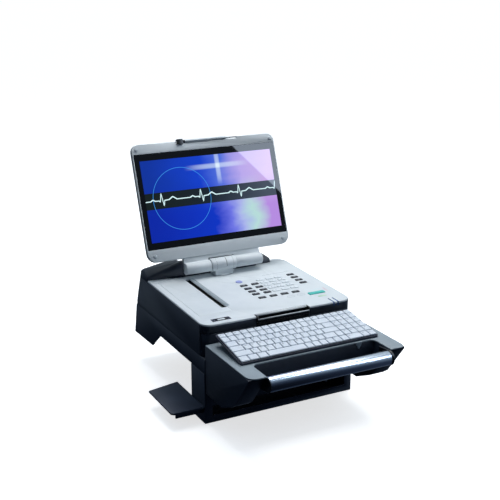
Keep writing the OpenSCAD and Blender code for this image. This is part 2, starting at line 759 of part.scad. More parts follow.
module handle_brackets() color(navy) unit_frame()
    for (x = [[-opening_x + 0.2, handle_x[0] - 0.2], [handle_x[1] + 0.2, opening_x - 0.2]]) hull() {
        translate([0, handle_at[0], handle_at[1]]) bar_x(x[0], x[1], handle_r + 1);
        translate([x[0], -196, -4]) cube([x[1] - x[0], 10, 36]);
    }

module side_shelf() color(navy) unit_frame() {
    shelf_x = -column_w / 2 - 0.1;
    translate([0, 0, shelf_z - 5]) linear_extrude(5)
        polygon([[-290, 4], [-284, -2], [shelf_x, -2], [shelf_x, 159], [-290, 141]]);
    for (y = [8, 60]) across(shelf_x - 70, shelf_x) translate([y, shelf_z - 20])
        polygon([[0, 0], [4, 0], [4, 15.1], [0, 15.1]]);
}

unit_base();
top_cover();
rear_housing();
side_panel();
patient_socket();
data_sockets();
mains_inlet();
main_board();
power_supply();
battery_pack();
fan_frame();
fan_rotor();
recorder_frame();
thermal_head();
paper_roll();
paper_spindle();
platen_roller();
platen_gear();
feed_motor();
motor_pinion();
tear_bar();
recorder_lid();
lid_arms();
lid_hinge_pin();
lid_button_bezel();
lid_button();
keypad_board();
dark_keys();
white_keys();
side_keys();
bottom_keys();
start_key();
power_key();
status_lights();
front_grip();
hinge_post();
hinge_bracket();
hinge_shaft();
hinge_barrels();
display_frame();
display_glass();
lcd_panel();
display_rear_shell();
display_bumpers();
stylus_holder();
stylus();
keyboard_case();
function_keys();
letter_keys();
number_keys();
keyboard_foot_left();
keyboard_foot_right();
cradle();
column();
column_flange();
tray_body();
tray_top();
handle_bar();
handle_brackets();
side_shelf();
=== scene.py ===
"""Finishes and fine pieces for an electrocardiograph on its trolley head."""
import json
import math

import bmesh
import bpy
from mathutils import Matrix, Vector


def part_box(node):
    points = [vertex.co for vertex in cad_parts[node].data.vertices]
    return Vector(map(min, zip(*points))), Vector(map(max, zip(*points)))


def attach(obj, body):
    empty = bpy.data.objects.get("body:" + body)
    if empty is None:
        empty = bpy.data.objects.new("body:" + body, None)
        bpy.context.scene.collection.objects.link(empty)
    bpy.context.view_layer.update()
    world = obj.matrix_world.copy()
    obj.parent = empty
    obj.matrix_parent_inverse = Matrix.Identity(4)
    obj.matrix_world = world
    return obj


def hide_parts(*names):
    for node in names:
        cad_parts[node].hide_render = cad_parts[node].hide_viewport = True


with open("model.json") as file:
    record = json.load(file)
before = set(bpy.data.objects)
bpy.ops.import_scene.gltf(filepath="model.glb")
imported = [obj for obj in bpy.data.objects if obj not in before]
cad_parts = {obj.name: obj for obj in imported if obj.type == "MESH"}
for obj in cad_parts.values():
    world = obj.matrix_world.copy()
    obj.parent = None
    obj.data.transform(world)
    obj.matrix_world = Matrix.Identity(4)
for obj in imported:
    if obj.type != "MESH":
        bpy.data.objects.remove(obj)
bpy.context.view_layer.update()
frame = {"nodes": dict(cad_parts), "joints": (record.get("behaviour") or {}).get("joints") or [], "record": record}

nodes = frame["nodes"]
joints = {joint["name"]: joint for joint in frame["joints"]}
body_of = {n: body for body, names in frame["record"]["behaviour"]["bodies"].items() for n in names}
slot_of = {part["node"]: part["material_slot"] for part in frame["record"]["subparts"]}
scene = bpy.context.scene
MM = 0.001
# Thickness of a film of printing ink, as thick as it needs to be to show
INK_T = 0.08 * MM


# ---- places: local frames taken from the joints and faces of the model ----

def local_frame(origin, across, back):
    """A frame at origin whose X runs along across and whose Y runs along back."""
    x = Vector(across).normalized()
    y = Vector(back).normalized()
    return Matrix.Translation(Vector(origin)) @ Matrix((x, y, x.cross(y))).transposed().to_4x4()


def front_normal(node):
    """The normal of a flat node's broadest face that looks towards the operator."""
    areas = {}
    for face in nodes[node].data.polygons:
        if face.normal.y < -0.5:
            key = tuple(round(value, 2) for value in face.normal)
            total, normal = areas.get(key, (0, face.normal.copy()))
            areas[key] = (total + face.area, normal)
    return max(areas.values(), key=lambda entry: entry[0])[1]


LID_AXIS = Vector((-197 * MM, 0, -6 * MM))
top = local_frame((0, 0, 0), (1, 0, 0), -Vector(joints["lid_swing"]["axis"]))
top.translation = Vector(joints["lid_swing"]["pos_m"]) - top.to_3x3() @ LID_AXIS
display = local_frame(joints["display_tilt"]["pos_m"], (1, 0, 0), -front_normal("display_glass"))
key_up = -Vector(joints["letter_keys_press"]["axis"])
board = local_frame((0, 0, 0), (1, 0, 0), key_up.cross(Vector((1, 0, 0))))
room = Matrix.Identity(4)


def facing(place, at, across=(1, 0, 0), up=(0, 1, 0)):
    """A frame at a point of another frame, whose X and Y run along two of its directions."""
    turn = place.to_3x3()
    return local_frame(place @ Vector(at), turn @ Vector(across), turn @ Vector(up))


def box_in(place, node):
    """Lowest and highest corner of a node, measured in a local frame."""
    return extent([place.inverted() @ vertex.co for vertex in nodes[node].data.vertices])


def extent(points):
    """Lowest and highest corner of a set of points."""
    low = Vector([min(p[i] for p in points) for i in range(3)])
    high = Vector([max(p[i] for p in points) for i in range(3)])
    return low, high


def welded(node):
    """A node's mesh, with the corners that its faces share made one."""
    mesh = bmesh.new()
    mesh.from_mesh(nodes[node].data)
    bmesh.ops.remove_doubles(mesh, verts=mesh.verts, dist=1e-6)
    return mesh


def solids_in(place, node):
    """Lowest and highest corner of each separate solid of a node, in a local frame."""
    mesh = welded(node)
    left = set(mesh.verts)
    found = []
    while left:
        group = [left.pop()]
        for vertex in group:
            for edge in vertex.link_edges:
                other = edge.other_vert(vertex)
                if other in left:
                    left.remove(other)
                    group.append(other)
        found.append(extent([place.inverted() @ vertex.co for vertex in group]))
    mesh.free()
    return sorted(found, key=lambda pair: (round(pair[0].y, 4), pair[0].x))


# ---- building pieces ----

def as_piece(mesh, name, material, body, stands_for=()):
    """Makes a piece from a bmesh, gives it its finish and lets it ride on its body."""
    data = bpy.data.meshes.new(name)
    bmesh.ops.recalc_face_normals(mesh, faces=mesh.faces)
    mesh.to_mesh(data)
    mesh.free()
    data.shade_smooth()
    piece = bpy.data.objects.new(name, data)
    scene.collection.objects.link(piece)
    data.materials.append(material)
    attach(piece, body)
    if stands_for:
        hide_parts(*stands_for)
    return piece


def stand_in(mesh, node, ending):
    """Makes a piece that replaces one node, in the node's own material."""
    slot = slot_of[node]
    return as_piece(mesh, node + ending, material_of[slot], body_of[node], [node])


def round_edges(piece, width, segments=2, angle=32):
    """Rounds a piece's sharp edges, so that they catch a thin line of light."""
    edge = piece.modifiers.new("rounded_edges", "BEVEL")
    edge.width = width
    edge.segments = segments
    edge.limit_method = "ANGLE"
    edge.angle_limit = math.radians(angle)
    edge.use_clamp_overlap = False
    edge.harden_normals = True
    return piece


def soften(node, width, segments=2, wide=None, wide_width=0):
    """A node's own shape with rounded edges; wide picks the edges with a larger radius."""
    mesh = welded(node)
    bmesh.ops.dissolve_limit(mesh, angle_limit=math.radians(0.5), verts=mesh.verts, edges=mesh.edges)
    if wide:
        sharp = [
            edge for edge in mesh.edges
            if len(edge.link_faces) == 2 and edge.calc_face_angle() > 0.6 and wide(edge)
        ]
        bmesh.ops.bevel(
            mesh, geom=sharp, offset=wide_width, segments=5, profile=0.5, affect="EDGES",
            clamp_overlap=False,
        )
    return round_edges(stand_in(mesh, node, "_shape"), width, segments)


def loft(mesh, place, rings, close=True):
    """Joins rings of points, each given in a local frame, into one skin."""
    made = [[mesh.verts.new(place @ Vector(point)) for point in ring] for ring in rings]
    count = len(made[0])
    for low, high in zip(made, made[1:]):
        for i in range(count):
            mesh.faces.new((low[i], low[(i + 1) % count], high[(i + 1) % count], high[i]))
    if close:
        mesh.faces.new(made[0])
        mesh.faces.new(made[-1])


def rounded(centre, width, depth, radius, z, steps=4):
    """A rounded rectangle at height z."""
    points = []
    for corner in range(4):
        turn = math.pi / 2 * corner
        cx = (width / 2 - radius) * (1 if corner in (0, 3) else -1)
        cy = (depth / 2 - radius) * (1 if corner < 2 else -1)
        for i in range(steps + 1):
            angle = turn + math.pi / 2 * i / steps
            points.append((
                centre[0] + cx + radius * math.cos(angle), centre[1] + cy + radius * math.sin(angle), z,
            ))
    return points


def circle(centre, radius, z, count=32, flats=0):
    """A circle at height z, or with flats a polygon of that many sides."""
    points = []
    for i in range(count):
        angle = 2 * math.pi * i / count
        reach = radius
        if flats:
            half = math.pi / flats
            reach = radius * math.cos(half) / math.cos(angle % (2 * half) - half)
        points.append((centre[0] + reach * math.cos(angle), centre[1] + reach * math.sin(angle), z))
    return points


def socket_screw(mesh, place, centre, radius):
    """A pan head screw with a hexagon socket, its head resting at height 0."""
    height = radius * 0.45
    loft(mesh, place, [
        circle(centre, radius, 0), circle(centre, radius, height * 0.45),
        circle(centre, radius * 0.86, height * 0.85), circle(centre, radius * 0.66, height),
        circle(centre, radius * 0.46, height, flats=6), circle(centre, radius * 0.42, height * 0.2, flats=6),
    ])


def printed_outline(mesh, place, centre, width, depth, radius, line):
    """A printed line round a rounded rectangle, as a thin film of ink."""
    sizes = [(0, 0), (0, INK_T), (line, INK_T), (line, 0)]
    rings = [
        rounded(centre, width - 2 * s, depth - 2 * s, max(radius - s, line / 4), z, 6) for s, z in sizes
    ]
    loft(mesh, place, rings + [rings[0]], close=False)
    bmesh.ops.remove_doubles(mesh, verts=mesh.verts, dist=1e-7)


def printed_bar(mesh, place, centre, width, depth, radius):
    """A solid printed mark."""
    loft(mesh, place, [
        rounded(centre, width, depth, radius, 0), rounded(centre, width, depth, radius, INK_T),
    ])


def printed_arc(mesh, place, centre, radius, line, start, end, z, steps=24):
    """A printed arc from start to end, in degrees."""
    angles = [math.radians(start + (end - start) * i / steps) for i in range(steps + 1)]
    rings = []
    for reach in (radius - line / 2, radius + line / 2):
        rings.append([(centre[0] + reach * math.cos(a), centre[1] + reach * math.sin(a), z) for a in angles])
    inner, outer = [[mesh.verts.new(place @ Vector(p)) for p in ring] for ring in rings]
    for i in range(steps):
        mesh.faces.new((inner[i], inner[i + 1], outer[i + 1], outer[i]))


def printed_letter(mesh, place, centre, letter, height):
    """One letter or digit of a plain typeface, centred on a point."""
    curve = bpy.data.curves.new("letter", "FONT")
    curve.body = letter
    curve.size = height
    curve.extrude = INK_T / 2
    curve.align_x = "CENTER"
    curve.align_y = "CENTER"
    shape = bpy.data.objects.new("letter", curve)
    outline = bpy.data.meshes.new_from_object(shape)
    outline.transform(place @ Matrix.Translation(Vector((centre[0], centre[1], INK_T / 2))))
    mesh.from_mesh(outline)
    bpy.data.objects.remove(shape)
    bpy.data.curves.remove(curve)
    bpy.data.meshes.remove(outline)


# ---- materials ----

def linear(code):
    """An sRGB hex colour as the linear colour that a shader takes."""
    parts = [int(code[i:i + 2], 16) / 255 for i in (1, 3, 5)]
    return [c / 12.92 if c <= 0.04045 else ((c + 0.055) / 1.055) ** 2.4 for c in parts] + [1.0]


def add(material, kind, **settings):
    """Adds a shader node, named without its prefix, with its settings and links.

    A setting is a property or an input, and a (node, output) pair is a link to it. Inputs are
    named with _ for a space, or numbered as in_0; stops are a colour ramp's.
    """
    node = material.node_tree.nodes.new("ShaderNode" + kind)
    for name, value in settings.items():
        if name == "stops":
            for i, (at, code) in enumerate(value):
                ends = node.color_ramp.elements
                stop = ends[0] if i == 0 else ends[-1] if i == len(value) - 1 else ends.new(at)
                stop.position = at
                stop.color = linear(code)
            continue
        key = int(name[3:]) if name.startswith("in_") else name.replace("_", " ")
        if isinstance(value, tuple) and isinstance(value[0], bpy.types.Node):
            material.node_tree.links.new(value[0].outputs[value[1]], node.inputs[key])
        elif isinstance(key, int) or key in node.inputs:
            node.inputs[key].default_value = value
        else:
            setattr(node, name, value)
    return node


def blank(name):
    """An empty node material, and the object coordinates that its patterns start from."""
    material = bpy.data.materials.new(name)
    material.use_nodes = True
    material.node_tree.nodes.clear()
    return material, (add(material, "TexCoord"), "Object")


def moulded(name, dark, colour, pale, grain=1.6, roughness=0.5, relief=0.05, coat=0.0):
    """Injection-moulded plastic: a fine spark-eroded grain, faint flow marks and rubbed edges.

    The real grain is a tenth of a millimetre; it is drawn at grain mm, so that it shows.
    """
    material, place = blank(name)
    flow = add(material, "TexNoise", Vector=place, Scale=14.0, Detail=3.0, Roughness=0.6)
    shade = add(material, "ValToRGB", Fac=(flow, 0), stops=[(0.3, dark), (0.5, colour), (0.75, pale)])
    shape = add(material, "NewGeometry")
    worn = add(material, "MapRange", Value=(shape, "Pointiness"), From_Min=0.53, From_Max=0.63, To_Max=0.3)
    tint = add(material, "Mix", data_type="RGBA", in_0=(worn, 0), in_6=(shade, 0), in_7=linear(pale))
    sparks = add(material, "TexNoise", Vector=place, Scale=1 / (grain * MM), Detail=2.0)
    gloss = add(material, "MapRange", Value=(sparks, 0), To_Min=roughness - 0.07, To_Max=roughness + 0.09)
    bump = add(material, "Bump", Height=(sparks, 0), Strength=0.5, Distance=relief * MM)
    skin = add(material, "BsdfPrincipled", Base_Color=(tint, 2), Roughness=(gloss, 0),
               Normal=(bump, 0), IOR=1.5, Coat_Weight=coat, Coat_Roughness=0.25)
    add(material, "OutputMaterial", Surface=(skin, 0))
    return material


def silicone(name, dark, colour, pale):
    """Silicone rubber key caps: soft and matte, with a faint bloom of dust."""
    material, place = blank(name)
    dust = add(material, "TexNoise", Vector=place, Scale=260.0, Detail=4.0, Roughness=0.7)
    shade = add(material, "ValToRGB", Fac=(dust, 0), stops=[(0.3, dark), (0.52, colour), (0.8, pale)])
    gloss = add(material, "MapRange", Value=(dust, 0), To_Min=0.42, To_Max=0.62)
    bump = add(material, "Bump", Height=(dust, 0), Strength=0.3, Distance=0.04 * MM)
    skin = add(material, "BsdfPrincipled", Base_Color=(shade, 0), Roughness=(gloss, 0),
               Normal=(bump, 0), IOR=1.41, Sheen_Weight=0.12, Sheen_Roughness=0.5)
    add(material, "OutputMaterial", Surface=(skin, 0))
    return material


def powder_coat(name, dark, colour, pale):
    """Powder-coated steel: a hard satin skin with the slight waves of orange peel."""
    material, place = blank(name)
    peel = add(material, "TexVoronoi", Vector=place, feature="SMOOTH_F1", Scale=1 / (2.2 * MM))
    haze = add(material, "TexNoise", Vector=place, Scale=9.0, Detail=4.0)
    shade = add(material, "ValToRGB", Fac=(haze, 0), stops=[(0.3, dark), (0.5, colour), (0.75, pale)])
    gloss = add(material, "MapRange", Value=(haze, 0), To_Min=0.36, To_Max=0.52)
    bump = add(material, "Bump", Height=(peel, 0), Strength=0.35, Distance=0.05 * MM)
    skin = add(material, "BsdfPrincipled", Base_Color=(shade, 0), Roughness=(gloss, 0),
               Normal=(bump, 0), IOR=1.5)
    add(material, "OutputMaterial", Surface=(skin, 0))
    return material


def drawn_metal(name, dark, colour, pale, along, line=0.7, roughness=0.3, uneven=0.06):
    """Bare metal with the fine lines of drawing or brushing; along is 0, 1 or 2 for X, Y or Z.

    The real lines are a few hundredths of a millimetre apart; they are drawn line mm apart.
    """
    material, place = blank(name)
    stretch = [1 / (line * MM)] * 3
    stretch[along] = 6
    lines = add(material, "Mapping", Vector=place, Scale=stretch)
    brush = add(material, "TexNoise", Vector=(lines, 0), Scale=1.0, Detail=3.0, Roughness=0.6)
    shade = add(material, "ValToRGB", Fac=(brush, 0), stops=[(0.3, dark), (0.5, colour), (0.7, pale)])
    gloss = add(material, "MapRange", Value=(brush, 0), To_Min=roughness - uneven,
                To_Max=roughness + uneven)
    bump = add(material, "Bump", Height=(brush, 0), Strength=0.15, Distance=0.5 * uneven * MM)
    skin = add(material, "BsdfPrincipled", Base_Color=(shade, 0), Roughness=(gloss, 0),
               Normal=(bump, 0), Metallic=1.0)
    add(material, "OutputMaterial", Surface=(skin, 0))
    return material


def solder_mask():
    """A circuit board: glossy green mask over copper tracks that run square to each other."""
    material, place = blank("solder_mask_on_glass_laminate")
    tracks = add(material, "TexBrick", Vector=place, Scale=1 / (24 * MM), Mortar_Size=0.03,
                 Color1=linear("#14573a"), Color2=linear("#1a6544"), Mortar=linear("#3f9468"))
    bump = add(material, "Bump", Height=(tracks, 1), Strength=0.4, Distance=0.035 * MM)
    stain = add(material, "TexNoise", Vector=place, Scale=60.0, Detail=3.0)
    gloss = add(material, "MapRange", Value=(stain, 0), To_Min=0.2, To_Max=0.4)
    skin = add(material, "BsdfPrincipled", Base_Color=(tracks, 0), Roughness=(gloss, 0),
               Normal=(bump, 0), IOR=1.55)
    add(material, "OutputMaterial", Surface=(skin, 0))
    return material


def chart_paper():
    """Thermal chart paper: smooth off-white with the pink 5 mm grid that charts are read by."""
    material, place = blank("coated_thermal_chart_paper")
    grid = add(material, "TexBrick", Vector=place, offset=0.0, Scale=1 / (5 * MM), Brick_Width=1.0,
               Row_Height=1.0, Mortar_Size=0.03, Color1=linear("#f4f1ea"), Color2=linear("#f1eee6"),
               Mortar=linear("#e3a6a8"))
    fibre = add(material, "TexNoise", Vector=place, Scale=1800.0, Detail=3.0)
    bump = add(material, "Bump", Height=(fibre, 0), Strength=0.2, Distance=0.02 * MM)
    skin = add(material, "BsdfPrincipled", Base_Color=(grid, 0), Normal=(bump, 0), Roughness=0.6)
    add(material, "OutputMaterial", Surface=(skin, 0))
    return material


def printing_ink(name, colour, worn):
    """Screen-printed ink, slightly thinner in places where fingers have rubbed it."""
    material, place = blank(name)
    wear = add(material, "TexNoise", Vector=place, Scale=900.0, Detail=3.0)
    shade = add(material, "ValToRGB", Fac=(wear, 0), stops=[(0.35, colour), (0.75, worn)])
    skin = add(material, "BsdfPrincipled", Base_Color=(shade, 0), Roughness=0.45)
    add(material, "OutputMaterial", Surface=(skin, 0))
    return material


def lit_polycarbonate():
    """Deep blue polycarbonate light pipe, glowing a little where the lamp behind it is near."""
    material, place = blank("tinted_polycarbonate_light_pipe")
    cloud = add(material, "TexNoise", Vector=place, Scale=120.0, Detail=2.0)
    glow = add(material, "ValToRGB", Fac=(cloud, 0), stops=[(0.3, "#16335f"), (0.7, "#2f5c9e")])
    skin = add(material, "BsdfPrincipled", Base_Color=(glow, 0), Emission_Color=(glow, 0),
               Emission_Strength=0.15, Roughness=0.15, IOR=1.58)
    add(material, "OutputMaterial", Surface=(skin, 0))
    return material


# The lit area of the screen: its margins inside the glass, at the sides and at the ends
SCREEN_SIDE = 13.5 * MM
SCREEN_ENDS = 18 * MM
# Heart trace: height over one beat, as shares of the beat and of the screen's height
BEAT = [(0.0, 0.5), (0.12, 0.5), (0.18, 0.6), (0.24, 0.5), (0.33, 0.5), (0.36, 0.42), (0.40, 1.0),
        (0.44, 0.12), (0.47, 0.5), (0.58, 0.52), (0.68, 0.7), (0.78, 0.5), (1.0, 0.5)]
BEATS = 3.4
TRACE_HALF = 0.006
BAND_HALF = 0.1
RING_RADIUS = 82 * MM
RING_LINE = 0.9 * MM
RING_AT = -0.23


def lit_screen():
    """Hardened cover glass over a lit colour panel, with a black printed border.

    The picture is a blue to violet wash with a soft flare, a dark band that carries a
    heart trace, and a thin ring. It glows through a smooth, mirror-like face.
    """
    material, place = blank("cover_glass_over_lit_panel")
    low, high = box_in(display, "display_glass")
    wide, tall = high.x - low.x - 2 * SCREEN_SIDE, high.z - low.z - 2 * SCREEN_ENDS
    picture = add(material, "Mapping", Vector=place, vector_type="TEXTURE",
                  Location=display @ ((low + high) / 2), Rotation=display.to_euler(), Scale=(wide, 1, tall))
    spot = add(material, "SeparateXYZ", Vector=(picture, 0))
    u, v = (spot, 0), (spot, 2)
    haze = add(material, "TexNoise", Vector=(picture, 0), Scale=3.5, Detail=3.0, Roughness=0.55)
    drift = add(material, "Math", operation="MULTIPLY_ADD", in_0=(haze, 0), in_1=0.22, in_2=0.39)
    shift = add(material, "Math", operation="ADD", in_0=u, in_1=(drift, 0))
    upper = add(material, "ValToRGB", Fac=(shift, 0), stops=[
        (0.05, "#06309c"), (0.42, "#0a3cc8"), (0.58, "#4f6fdc"), (0.74, "#b9a8ec"), (0.95, "#cfb4ea")])
    lower = add(material, "ValToRGB", Fac=(shift, 0), stops=[
        (0.05, "#0224a4"), (0.5, "#0230c0"), (0.62, "#6d74e4"), (0.7, "#a9b4ea"), (0.8, "#b6dcd8"),
        (0.92, "#b58be0")])
    height = add(material, "Math", operation="MULTIPLY_ADD", in_0=v, in_1=2.5, in_2=0.5, use_clamp=True)
    wash = add(material, "Mix", data_type="RGBA", in_0=(height, 0), in_6=(lower, 0), in_7=(upper, 0))

    # A flare of two crossed rays, bright where both are near
    squares, beams = [], []
    for side, centre, width in ((u, 0.07, 0.0005), (v, 0.36, 0.0016)):
        away = add(material, "Math", operation="SUBTRACT", in_0=side, in_1=centre)
        squares.append(add(material, "Math", operation="MULTIPLY", in_0=(away, 0), in_1=(away, 0)))
        beams.append(add(material, "MapRange", Value=(squares[-1], 0), interpolation_type="SMOOTHSTEP",
                         From_Max=width, To_Min=1.0, To_Max=0.0))
    rays, reach = [add(material, "Math", operation="ADD", in_0=(pair[0], 0), in_1=(pair[1], 0))
                   for pair in (beams, squares)]
    near = add(material, "MapRange", Value=(reach, 0), interpolation_type="SMOOTHSTEP",
               From_Max=0.07, To_Min=0.5, To_Max=0.0)
    flare = add(material, "Math", operation="MULTIPLY", in_0=(rays, 0), in_1=(near, 0), use_clamp=True)
    flared = add(material, "Mix", data_type="RGBA", in_0=(flare, 0), in_6=(wash, 2), in_7=linear("#dff0ff"))

    # A dark band across the middle
    off_middle = add(material, "Math", operation="ABSOLUTE", in_0=v)
    in_band = add(material, "Math", operation="LESS_THAN", in_0=(off_middle, 0), in_1=BAND_HALF)
    band_tint = add(material, "ValToRGB", Fac=(shift, 0), stops=[
        (0.1, "#101a18"), (0.5, "#141f2a"), (0.95, "#46505f")])
    banded = add(material, "Mix", data_type="RGBA", in_0=(in_band, 0), in_6=(flared, 2),
                 in_7=(band_tint, 0))

    # A thin ring
    ring_u = add(material, "Math", operation="SUBTRACT", in_0=u, in_1=RING_AT)
    ring_x = add(material, "Math", operation="MULTIPLY", in_0=(ring_u, 0), in_1=wide)
    ring_z = add(material, "Math", operation="MULTIPLY", in_0=v, in_1=tall)
    ring_at = add(material, "CombineXYZ", X=(ring_x, 0), Z=(ring_z, 0))
    radius = add(material, "VectorMath", operation="LENGTH", in_0=(ring_at, 0))
    off_ring = add(material, "Math", operation="SUBTRACT", in_0=(radius, "Value"), in_1=RING_RADIUS)
    ring_gap = add(material, "Math", operation="ABSOLUTE", in_0=(off_ring, 0))
    ring = add(material, "MapRange", Value=(ring_gap, 0), From_Min=RING_LINE * 0.5,
               From_Max=RING_LINE, To_Min=0.85, To_Max=0.0)
    ringed = add(material, "Mix", data_type="RGBA", in_0=(ring, 0), in_6=(banded, 2),
                 in_7=linear("#3f9df0"))

    # The heart trace: its line spans the heights just before and just after each point
    heights = []
    for step in (-0.0022, 0.0022):
        moved = add(material, "Math", operation="MULTIPLY_ADD", in_0=u, in_1=BEATS,
                    in_2=BEATS / 2 + step * BEATS)
        beat = add(material, "Math", operation="FRACT", in_0=(moved, 0))
        curve = add(material, "FloatCurve", Value=(beat, 0))
        points = curve.mapping.curves[0].points
        for i, at in enumerate(BEAT):
            point = points[0] if i == 0 else points[-1] if i == len(BEAT) - 1 else points.new(*at)
            point.location = at
            point.handle_type = "VECTOR"
        curve.mapping.update()
        heights.append(add(material, "MapRange", Value=(curve, 0), To_Min=-BAND_HALF * 0.9,
                           To_Max=BAND_HALF * 0.9))
    sides = []
    for extreme, side, within in (("MINIMUM", -1, "GREATER_THAN"), ("MAXIMUM", 1, "LESS_THAN")):
        edge = add(material, "Math", operation=extreme, in_0=(heights[0], 0), in_1=(heights[1], 0))
        wider = add(material, "Math", operation="ADD", in_0=(edge, 0), in_1=side * TRACE_HALF)
        sides.append(add(material, "Math", operation=within, in_0=v, in_1=(wider, 0)))
    trace = add(material, "Math", operation="MULTIPLY", in_0=(sides[0], 0), in_1=(sides[1], 0))
    traced = add(material, "Mix", data_type="RGBA", in_0=(trace, 0), in_6=(ringed, 2),
                 in_7=linear("#dcfbff"))

    # The black border
    off_side = add(material, "Math", operation="ABSOLUTE", in_0=u)
    furthest = add(material, "Math", operation="MAXIMUM", in_0=(off_side, 0), in_1=(off_middle, 0))
    lit = add(material, "Math", operation="LESS_THAN", in_0=(furthest, 0), in_1=0.5)
    glow = add(material, "Mix", data_type="RGBA", in_0=(lit, 0), in_6=linear("#000000"), in_7=(traced, 2))
    smear = add(material, "TexNoise", Vector=place, Scale=22.0, Detail=4.0)
    gloss = add(material, "MapRange", Value=(smear, 0), To_Min=0.01, To_Max=0.03)
    skin = add(material, "BsdfPrincipled", Base_Color=linear("#050507"), Roughness=(gloss, 0),
               IOR=1.52, Emission_Color=(glow, 2), Emission_Strength=1.0)
    add(material, "OutputMaterial", Surface=(skin, 0))
    return material


# Navy ABS with a satin moulded grain: deep blue, nearly black in the shade
navy_abs = moulded("navy_abs_spark_eroded", "#232b39", "#28313f", "#2e3848", roughness=0.44)
# Cool pale grey ABS, evenly matte, which carries the broad soft light
pale_abs = moulded("pale_grey_abs_spark_eroded", "#ccd4d9", "#d1d9dd", "#d6dde1", roughness=0.42)
# Mid grey ABS of the tray's rim, a little coarser so that a mouse or a hand doesn't slip
tray_abs = moulded("grey_abs_coarse_grain", "#84919a", "#8a97a0", "#919ea6", grain=2.2, relief=0.12)
# Black ABS trim, slightly shinier than the casings
black_abs = moulded("black_abs_satin", "#0b0c0f", "#0f1115", "#171a1f", roughness=0.26)
# Smooth grey ABS of the pen's barrel, and of the lead socket's shroud
grey_abs = moulded("grey_abs_smooth", "#98a4ab", "#a8b3ba", "#bcc6cc", relief=0.02, roughness=0.36)
# Deep blue ABS of the keyboard's tray, seen as lines between the caps
blue_abs = moulded("deep_blue_abs_satin", "#161c2e", "#1b2238", "#252e48", roughness=0.42)
# White ABS key caps with a fine satin top that fingers have slightly polished
cap_abs = moulded("white_abs_key_cap", "#ccd6e2", "#d3dce7", "#dae2eb", grain=1.2, relief=0.02,
                  roughness=0.42)
# Acetal gear: waxy cream, hard and low in gloss
acetal = moulded("machined_acetal", "#d9d2bd", "#e8e2d0", "#f2ede0", roughness=0.4)
# Grey-brown glazed ceramic of the print head
glaze = moulded("glazed_alumina_ceramic", "#4a4139", "#5a5048", "#6d6259", relief=0.01, roughness=0.2)
# Shrink film round the battery cells, blue-grey with soft wrinkles
shrink_film = moulded("pvc_shrink_film", "#333d4b", "#3c4656", "#4d596b", grain=9, relief=0.3, roughness=0.25)
# Nitrile and EPDM rubber: matte black with a grey bloom
rubber = silicone("black_nitrile_rubber", "#101113", "#191b1e", "#2a2d31")
bumper_rubber = silicone("pale_grey_tpe_rubber", "#aeb9c1", "#bcc6cd", "#cad3d9")
dark_silicone = silicone("dark_slate_silicone", "#10161e", "#171f28", "#222b35")
pale_silicone = silicone("pale_grey_silicone", "#c9d3da", "#d8e0e5", "#e6edf1")
teal_silicone = silicone("teal_silicone", "#2aa79d", "#36bcb4", "#62d2ca")
violet_silicone = silicone("violet_silicone", "#8794cc", "#9aa6da", "#b6c0e8")
# Powder-coated steel of the column and the shelf
navy_steel = powder_coat("navy_powder_coated_steel", "#1d2532", "#253042", "#303c50")
# Brushed stainless and plated steel of frames, pins and shells
bright_steel = drawn_metal("brushed_stainless_steel", "#8f9498", "#b0b5b9", "#cdd1d4", along=0)
# Grey-coated steel of the tear strip, rubbed by chart paper
tear_grey = moulded("grey_coated_steel_strip", "#a3afb6", "#acb8bf", "#b8c3ca", grain=0.8, roughness=0.34)
# Turned brass of the motor's pinion and the lead socket's pins
turned_brass = drawn_metal("turned_brass", "#a07a30", "#c8a050", "#e0c07a", along=1)
# Satin anodised aluminium tube: one long highlight over cool blue-grey
anodised = drawn_metal("satin_anodised_aluminium", "#b4bdca", "#bec7d3", "#c8d0db", along=0, line=0.4,
                       roughness=0.24, uneven=0.02)
board_green = solder_mask()
paper = chart_paper()
screen_glass = lit_screen()
pipe = lit_polycarbonate()
dark_ink = printing_ink("slate_screen_ink", "#3c4854", "#5a6672")
grey_ink = printing_ink("grey_screen_ink", "#8d98a1", "#a5afb7")
blue_ink = printing_ink("blue_screen_ink", "#5d6fc4", "#8592d6")
white_ink = printing_ink("white_screen_ink", "#d3dbe2", "#b9c2ca")
pink_ink = printing_ink("pink_screen_ink", "#dfb9c2", "#e6cbd1")
green_ink = printing_ink("green_screen_ink", "#b5dcbc", "#c6e3cb")

material_of = {
    "navy_plastic": navy_abs, "light_plastic": pale_abs, "grey_plastic": grey_abs,
    "tray_plastic": tray_abs, "black_plastic": black_abs, "steel": bright_steel,
    "circuit_board": board_green, "battery_wrap": shrink_film, "ceramic_head": glaze,
    "chart_paper": paper, "rubber": rubber, "gear_plastic": acetal, "brass": turned_brass,
    "dark_key": dark_silicone, "pale_key": pale_silicone, "teal_key": teal_silicone,
    "violet_key": violet_silicone, "light_pipe": pipe, "cover_glass": screen_glass,
    "screen": black_abs, "board_case": blue_abs, "white_key": cap_abs, "navy_metal": navy_steel,
    "anodised_aluminium": anodised,
}
for node, obj in nodes.items():
    obj.data.materials.clear()
    obj.data.materials.append(material_of[slot_of[node]])


# ---- casings with rounded edges ----

# Edge radii in metres: casings, thin panels, turned ends
EDGE = 0.7 * MM
FINE_EDGE = 0.35 * MM
BAR_EDGE = 1.2 * MM
COVER_EDGE = 2.8 * MM
BEZEL_EDGE = 2.4 * MM
RIM_EDGE = 1.0 * MM


